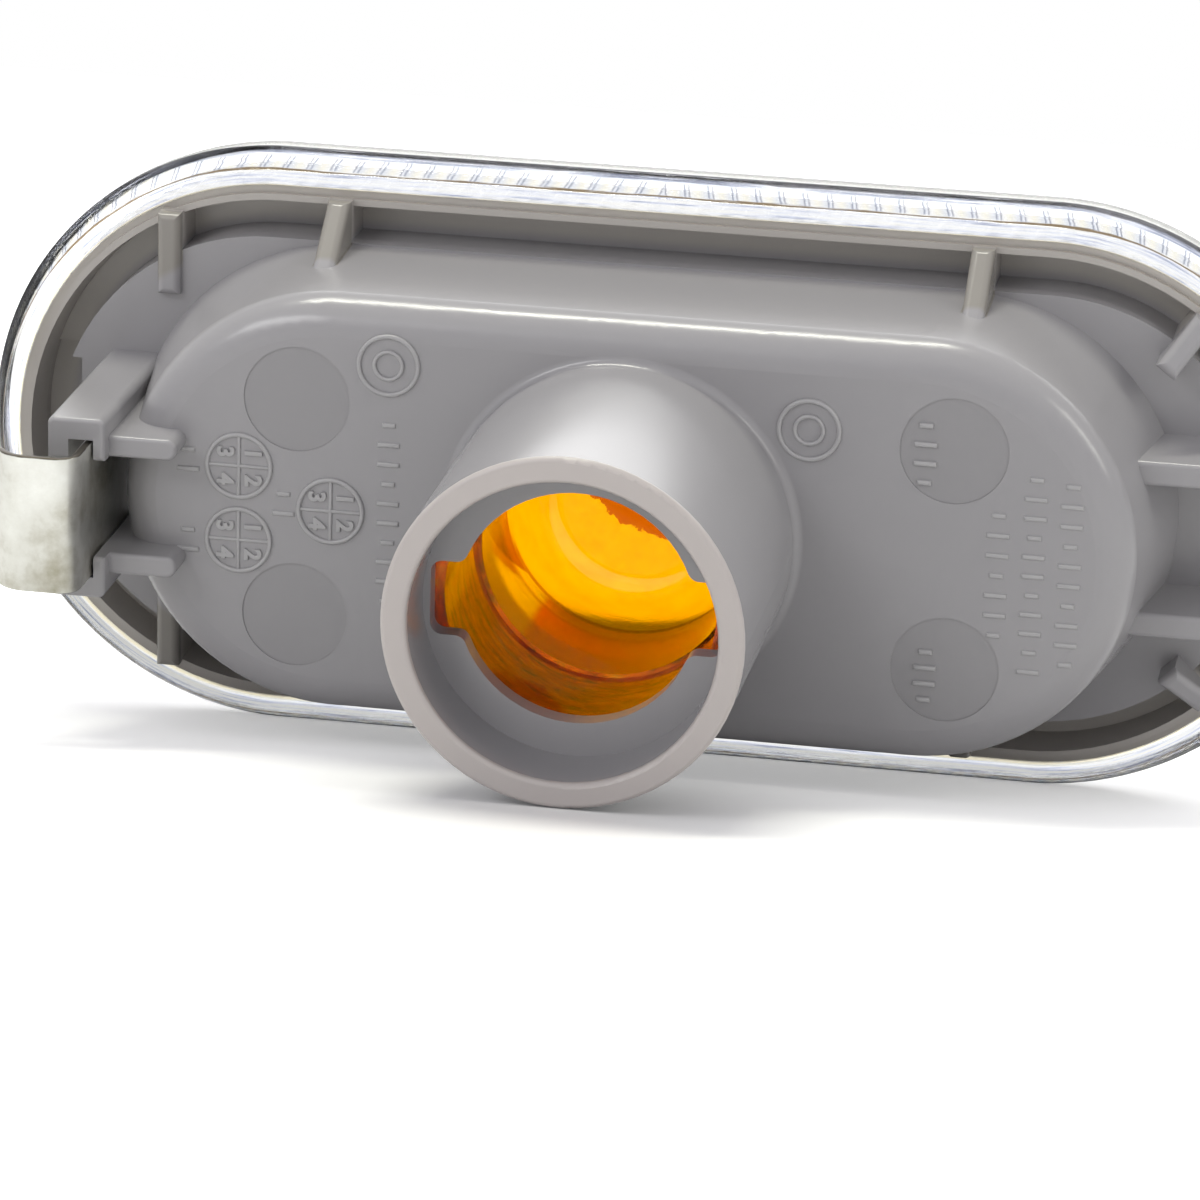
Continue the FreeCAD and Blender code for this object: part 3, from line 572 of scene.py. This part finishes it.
def make_lens():
    # The section's points are (reach, level): the seat and the flare outside, then the hollow.
    outer = [(LENS_SEAT, level) for level in (5.2, 4.2, 3.0, 1.6, 0.25)]
    outer += [(19.1, 0.0), (19.95, 0.0), (20.05, 0.06), (20.1, 0.16), (20.2, 0.24)]
    outer += [(20.65, 1.1), (20.95, 1.72), (21.1, 2.02), (21.19, 2.2)]
    outer += arc_points((LENS_RADIUS - LENS_ROUND, LENS_FRONT - LENS_ROUND), LENS_ROUND, 0, 90, 14)
    outer.append((MIDDLE_RING, LENS_FRONT))
    inner = [(MIDDLE_RING, LENS_FRONT - LENS_WALL), (11.0, LENS_FRONT - LENS_WALL)]
    inner += arc_points((12.0, 7.3), 3.0, 84, 30, 6)
    inner += [(17.7, 5.2), (LENS_SEAT, 5.2)]
    half_step = math.pi / ROUND_STEPS
    chains = []
    for name, section in (("lens_shell", outer), ("lens_inside", inner)):
        chains.append(draw_chain(name, [
            (reach * math.cos(half_step), level, reach * math.sin(half_step)) for reach, level in section]))
    lens = join_all(chains, "lens_shell")
    bpy.ops.object.mode_set(mode="EDIT")
    bpy.ops.mesh.select_all(action="SELECT")
    bpy.ops.mesh.spin(steps=ROUND_STEPS, angle=2 * math.pi, center=(0, 0, 0), axis=(0, 1, 0))
    bpy.ops.mesh.select_all(action="SELECT")
    bpy.ops.mesh.remove_doubles(threshold=0.01 * MM)
    for side in (-1, 1):
        choose(lens, "VERT", lambda place: place.x * side > 0)
        bpy.ops.transform.translate(value=(side * LENS_CENTRES * MM, 0, 0))

    def reach_of(place):
        return math.hypot(max(abs(place.x) - LENS_CENTRES * MM, 0), place.z)

    def on_middle_ring(place, level):
        return abs(place.y - level * MM) < 0.01 * MM and reach_of(place) < (MIDDLE_RING + 0.05) * MM

    for level in (LENS_FRONT, LENS_FRONT - LENS_WALL):
        choose(lens, "EDGE", lambda a, b: on_middle_ring(a, level) and on_middle_ring(b, level))
        bpy.ops.mesh.edge_face_add()
    choose(lens, "EDGE", lambda a, b: abs(a.x - b.x) > 40 * MM)
    bpy.ops.mesh.subdivide(number_cuts=STRAIGHT_CUTS)
    bpy.ops.mesh.select_all(action="SELECT")
    bpy.ops.mesh.normals_make_consistent(inside=False)
    straight = 2 * (LENS_CENTRES + LENS_SEAT * math.sin(half_step)) * MM
    pitch = straight / (STRAIGHT_CUTS + 1)

    def on_flute(place):
        in_wall = FLUTE_LEVELS[0] * MM < place.y < FLUTE_LEVELS[1] * MM
        if not in_wall or abs(reach_of(place) - LENS_SEAT * MM) > 0.1 * MM:
            return False
        if abs(place.x) < LENS_CENTRES * MM:
            return round((place.x + straight / 2) / pitch) % 2 == 0
        angle = math.atan2(place.z, abs(place.x) - LENS_CENTRES * MM)
        return round(angle / (2 * half_step) - 0.5) % 2 == 0

    choose(lens, "VERT", on_flute)
    bpy.ops.transform.shrink_fatten(value=-FLUTE_DEPTH * MM)
    pick_up(lens)
    bpy.ops.object.shade_smooth_by_angle(angle=math.radians(28))
    lens.data.materials.append(clear_acrylic)
    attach(lens, "root")
    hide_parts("lens")


# Spring clip: a strip drawn along its bend, widened and given its thickness

def make_clip():
    slope = math.radians(52.0)
    leg_x, nose_level, nose_radius = -36.153, -21.45, 1.25
    turn_x, turn_radius, knee_x, knee_radius = -39.6, 2.0, -46.4, 1.6
    turned = (turn_x - turn_radius * math.sin(slope), nose_level + turn_radius * (1 - math.cos(slope)))
    knee_in = knee_x + knee_radius * (1 - math.sin(slope))
    rise = (turned[0] - knee_in) * math.tan(slope)
    knee_centre = (knee_x + knee_radius, turned[1] + rise + knee_radius * math.cos(slope))
    bend = [(leg_x, -7.0), (leg_x, -14.0)]
    bend += arc_points((leg_x - nose_radius, nose_level + nose_radius), nose_radius, 0, -90, 8)
    bend += [((leg_x - nose_radius + turn_x) / 2, nose_level)]
    bend += arc_points((turn_x, nose_level + turn_radius), turn_radius, -90, -142, 6)
    bend += [((turned[0] + knee_in) / 2, turned[1] + rise / 2)]
    bend += arc_points(knee_centre, knee_radius, 218, 180, 6)
    bend += [(knee_x, -5.9), (knee_x + 0.04, -5.6), (knee_x + 0.16, -5.35)]
    clip = draw_chain("clip_strip", [(x, y, -CLIP_HALF) for x, y in bend])
    bpy.ops.object.mode_set(mode="EDIT")
    bpy.ops.mesh.select_all(action="SELECT")
    bpy.ops.mesh.extrude_region_move(TRANSFORM_OT_translate={"value": (0, 0, 2 * CLIP_HALF * MM)})
    bpy.ops.mesh.select_all(action="SELECT")
    bpy.ops.mesh.normals_make_consistent(inside=False)
    finish_with(clip, "SOLIDIFY", thickness=CLIP_THICK * MM, offset=0.0)
    finish_with(clip, "BEVEL", width=0.09 * MM, segments=2, limit_method="ANGLE",
                angle_limit=math.radians(50))
    bpy.ops.object.shade_smooth_by_angle(angle=math.radians(35))
    clip.data.materials.append(zinc_steel)
    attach(clip, "root")
    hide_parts("spring_clip")


# Raised marks on the pan: quartered rings with plain digits, bare rings and rows of short bars

QUARTERED_RINGS = ((-26.55, 2.67), (-26.55, -2.65), (-20.1, -0.05))
QUARTERED_RADIUS = 2.38
DIGIT_OFF = 0.98
DIGIT_SIZE = 1.6
BARE_RINGS = ((-16.2, 10.65), (12.7, 8.45))
BAR_WIDTH = 0.34

# How thick a ring and a bar are. Part of each lies within the pan's wall.
RING_THICK = 0.3
BAR_THICK = 0.36

# Each row of bars: its place along X, its top and bottom, and how many bars it has.
BAR_ROWS = (
    (-16.1, 6.4, -6.2, 10), (28.2, 6.2, -7.4, 11), (30.65, 5.9, -6.7, 10), (25.75, 3.5, -5.0, 7),
    (20.6, 9.4, 5.4, 4), (21.2, -6.6, -10.0, 4), (-30.1, 3.6, 2.2, 2), (-30.1, -2.2, -3.6, 2),
    (-23.4, 0.9, -0.5, 2),
)


def raise_ring(x, z, radius, width):
    """A ring that stands up from the pan, with softened edges."""
    put_down()
    place = (x * MM, (PAN_LEVEL + 0.1) * MM, z * MM)
    bpy.ops.mesh.primitive_circle_add(vertices=56, radius=radius * MM, fill_type="NGON", location=place,
                                      rotation=(math.pi / 2, 0, 0))
    ring = bpy.context.object
    bpy.ops.object.mode_set(mode="EDIT")
    bpy.ops.mesh.select_all(action="SELECT")
    bpy.ops.mesh.inset(thickness=width * MM)
    bpy.ops.mesh.delete(type="FACE")
    bpy.ops.mesh.select_all(action="SELECT")
    bpy.ops.mesh.extrude_region_move(TRANSFORM_OT_translate={"value": (0, -RING_THICK * MM, 0)})
    settle(ring)
    finish_with(ring, "BEVEL", width=0.12 * MM, segments=3, limit_method="ANGLE")
    return ring


def raise_bar(x, z, across, along):
    """A bar that stands up from the pan, with its upper edges rounded."""
    put_down()
    bpy.ops.mesh.primitive_cube_add(size=MM, location=(x * MM, (PAN_LEVEL + 0.05) * MM, z * MM))
    bar = bpy.context.object
    bar.scale = (across, BAR_THICK, along)
    settle(bar)
    choose(bar, "FACE", lambda centre, normal: normal.y < -0.5)
    bpy.ops.mesh.bevel(offset=0.11 * MM, segments=3, affect="EDGES")
    bpy.ops.object.mode_set(mode="OBJECT")
    return bar


def raise_digit(digit, x, z):
    """A plain digit that stands up from the pan, turned a quarter so that it reads downwards."""
    put_down()
    bpy.ops.object.text_add(location=(0, 0, 0))
    text = bpy.context.object
    text.data.body = digit
    text.data.size = DIGIT_SIZE * MM
    text.data.align_x = "CENTER"
    text.data.align_y = "CENTER"
    text.data.offset = 0.03 * MM
    text.data.extrude = 0.14 * MM
    text.data.bevel_depth = 0.04 * MM
    text.data.resolution_u = 3
    bpy.ops.object.convert(target="MESH")
    text.rotation_euler = (math.pi / 2, math.pi / 2, 0)
    text.location = (x * MM, PAN_LEVEL * MM, z * MM)
    settle(text)
    return text


def make_marks():
    marks = []
    for x, z in QUARTERED_RINGS:
        marks.append(raise_ring(x, z, QUARTERED_RADIUS, 0.3))
        marks.append(raise_bar(x, z, 0.26, 4.3))
        marks.append(raise_bar(x, z, 4.3, 0.26))
        for digit, right, up in (("1", 1, 1), ("2", 1, -1), ("3", -1, 1), ("4", -1, -1)):
            marks.append(raise_digit(digit, x + right * DIGIT_OFF, z + up * DIGIT_OFF))
    for x, z in BARE_RINGS:
        marks.append(raise_ring(x, z, 2.2, 0.3))
        marks.append(raise_ring(x, z, 1.1, 0.26))
    for x, top, bottom, count in BAR_ROWS:
        for step in range(count):
            level = top + (bottom - top) * step / (count - 1)
            marks.append(raise_bar(x, level, 1.55 if step % 3 else 0.95, BAR_WIDTH))
    whole = join_all(marks, "pan_marks")
    bpy.ops.object.shade_smooth_by_angle(angle=math.radians(40))
    whole.data.materials.clear()
    whole.data.materials.append(mark_highlight_grey)
    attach(whole, "root")


make_lens()
make_clip()
make_marks()


# Floor, light and camera

# The lamp lies on its socket's rim and on the lens's lower edge, so the floor leans.
FLOOR_LEAN = math.radians(-13.9)
RIM_LOW = (0.0, SOCKET_MOUTH * MM, -SOCKET_RADIUS * MM)

# Each lamp: its name, place, size, power and colour, and whether it shows through clear plastic.
LAMPS = (
    ("overhead", (-0.14, 0.23, 0.75), (0.45, 0.1), 3.6, (1.0, 1.0, 0.88), False),
    ("front_high", (-0.5, -0.6, 0.6), (0.5, 0.25), 2.4, (1.0, 1.0, 1.0), True),
    ("behind", (0.15, 0.85, 0.34), (1.1, 0.4), 3.4, (1.0, 1.0, 1.0), False),
    ("right_high", (0.72, -0.06, 0.42), (0.14, 0.4), 1.3, (1.0, 1.0, 0.92), True),
)

CAMERA_PLACE = (65.646, -397.856, 129.330)
CAMERA_TURN = (71.020, -1.496, 10.381)
CAMERA_LENS = 181.6


def make_floor():
    """A white floor that glows for the camera, less so near the lamp, and that is not seen from below. Round
    the point where the socket's rim rests the glow drops further, a painted contact shadow.
    """
    put_down()
    bpy.ops.mesh.primitive_plane_add(size=8.0, location=RIM_LOW, rotation=(FLOOR_LEAN, 0, 0))
    floor = bpy.context.object
    floor.name = "floor"
    material, tree, shader = new_material("white_floor")
    shader.inputs["Base Color"].default_value = (0.8, 0.8, 0.8, 1)
    shader.inputs["Roughness"].default_value = 0.6
    shader.inputs["Emission Color"].default_value = (1, 1, 1, 1)
    rays = tree.nodes.new("ShaderNodeLightPath")
    through = calc(tree, "MULTIPLY", rays.outputs["Is Transmission Ray"], 0.3)
    seen = calc(tree, "MAXIMUM", rays.outputs["Is Camera Ray"], through)
    away = tree.nodes.new("ShaderNodeVectorMath")
    away.operation = "LENGTH"
    tree.links.new(place_on_object(tree), away.inputs[0])
    fade = spread(tree, away.outputs["Value"], (0.06, 0.16), (0.36, 1.0), "SMOOTHSTEP")
    # Painted contact shadow: the glow drops close to where the socket's rim rests.
    contact_shadow = spread(tree, away.outputs["Value"], (0.004, 0.03), (0.14, 1.0), "SMOOTHSTEP")
    glow = calc(tree, "MULTIPLY", calc(tree, "MULTIPLY", seen, fade), contact_shadow)
    tree.links.new(glow, shader.inputs["Emission Strength"])
    side = tree.nodes.new("ShaderNodeNewGeometry")
    unseen = tree.nodes.new("ShaderNodeBsdfTransparent")
    mix = tree.nodes.new("ShaderNodeMixShader")
    tree.links.new(side.outputs["Backfacing"], mix.inputs[0])
    tree.links.new(shader.outputs[0], mix.inputs[1])
    tree.links.new(unseen.outputs[0], mix.inputs[2])
    tree.links.new(mix.outputs[0], tree.nodes["Material Output"].inputs["Surface"])
    floor.data.materials.append(material)


def make_world():
    """Soft light all round, which looks white straight on, in gloss and through clear plastic."""
    world = bpy.data.worlds.new("studio")
    bpy.context.scene.world = world
    world.use_nodes = True
    tree = world.node_tree
    tree.nodes.clear()
    rays = tree.nodes.new("ShaderNodeLightPath")
    straight = calc(tree, "MAXIMUM", rays.outputs["Is Camera Ray"], rays.outputs["Is Transmission Ray"])
    seen = calc(tree, "MAXIMUM", straight, rays.outputs["Is Glossy Ray"])
    soft = add_node(tree, "ShaderNodeBackground", Color=(0.96, 0.945, 1.0, 1), Strength=0.62)
    white = add_node(tree, "ShaderNodeBackground", Color=(1, 1, 1, 1), Strength=1.0)
    mix = tree.nodes.new("ShaderNodeMixShader")
    tree.links.new(seen, mix.inputs[0])
    tree.links.new(soft.outputs[0], mix.inputs[1])
    tree.links.new(white.outputs[0], mix.inputs[2])
    out = tree.nodes.new("ShaderNodeOutputWorld")
    tree.links.new(mix.outputs[0], out.inputs["Surface"])


def make_lamp(name, place, size, power, colour, shows_through):
    """A soft rectangular lamp that faces the middle of the object."""
    data = bpy.data.lights.new(name, "AREA")
    data.shape = "RECTANGLE"
    data.size, data.size_y = size
    data.energy = power
    data.color = colour
    lamp = bpy.data.objects.new(name, data)
    bpy.context.scene.collection.objects.link(lamp)
    lamp.location = place
    lamp.rotation_mode = "QUATERNION"
    lamp.rotation_quaternion = (-Vector(place)).to_track_quat("-Z", "Y")
    lamp.visible_transmission = shows_through


def make_camera():
    data = bpy.data.cameras.new("camera")
    data.sensor_width = 36.0
    data.lens = CAMERA_LENS
    data.clip_start = 0.01
    data.clip_end = 20.0
    camera = bpy.data.objects.new("camera", data)
    bpy.context.scene.collection.objects.link(camera)
    camera.location = [value * MM for value in CAMERA_PLACE]
    camera.rotation_euler = [math.radians(angle) for angle in CAMERA_TURN]
    bpy.context.scene.camera = camera


make_floor()
make_world()
for lamp in LAMPS:
    make_lamp(*lamp)
make_camera()
bpy.context.scene.view_settings.view_transform = "Standard"

for node in nodes.values():
    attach(node, "root")
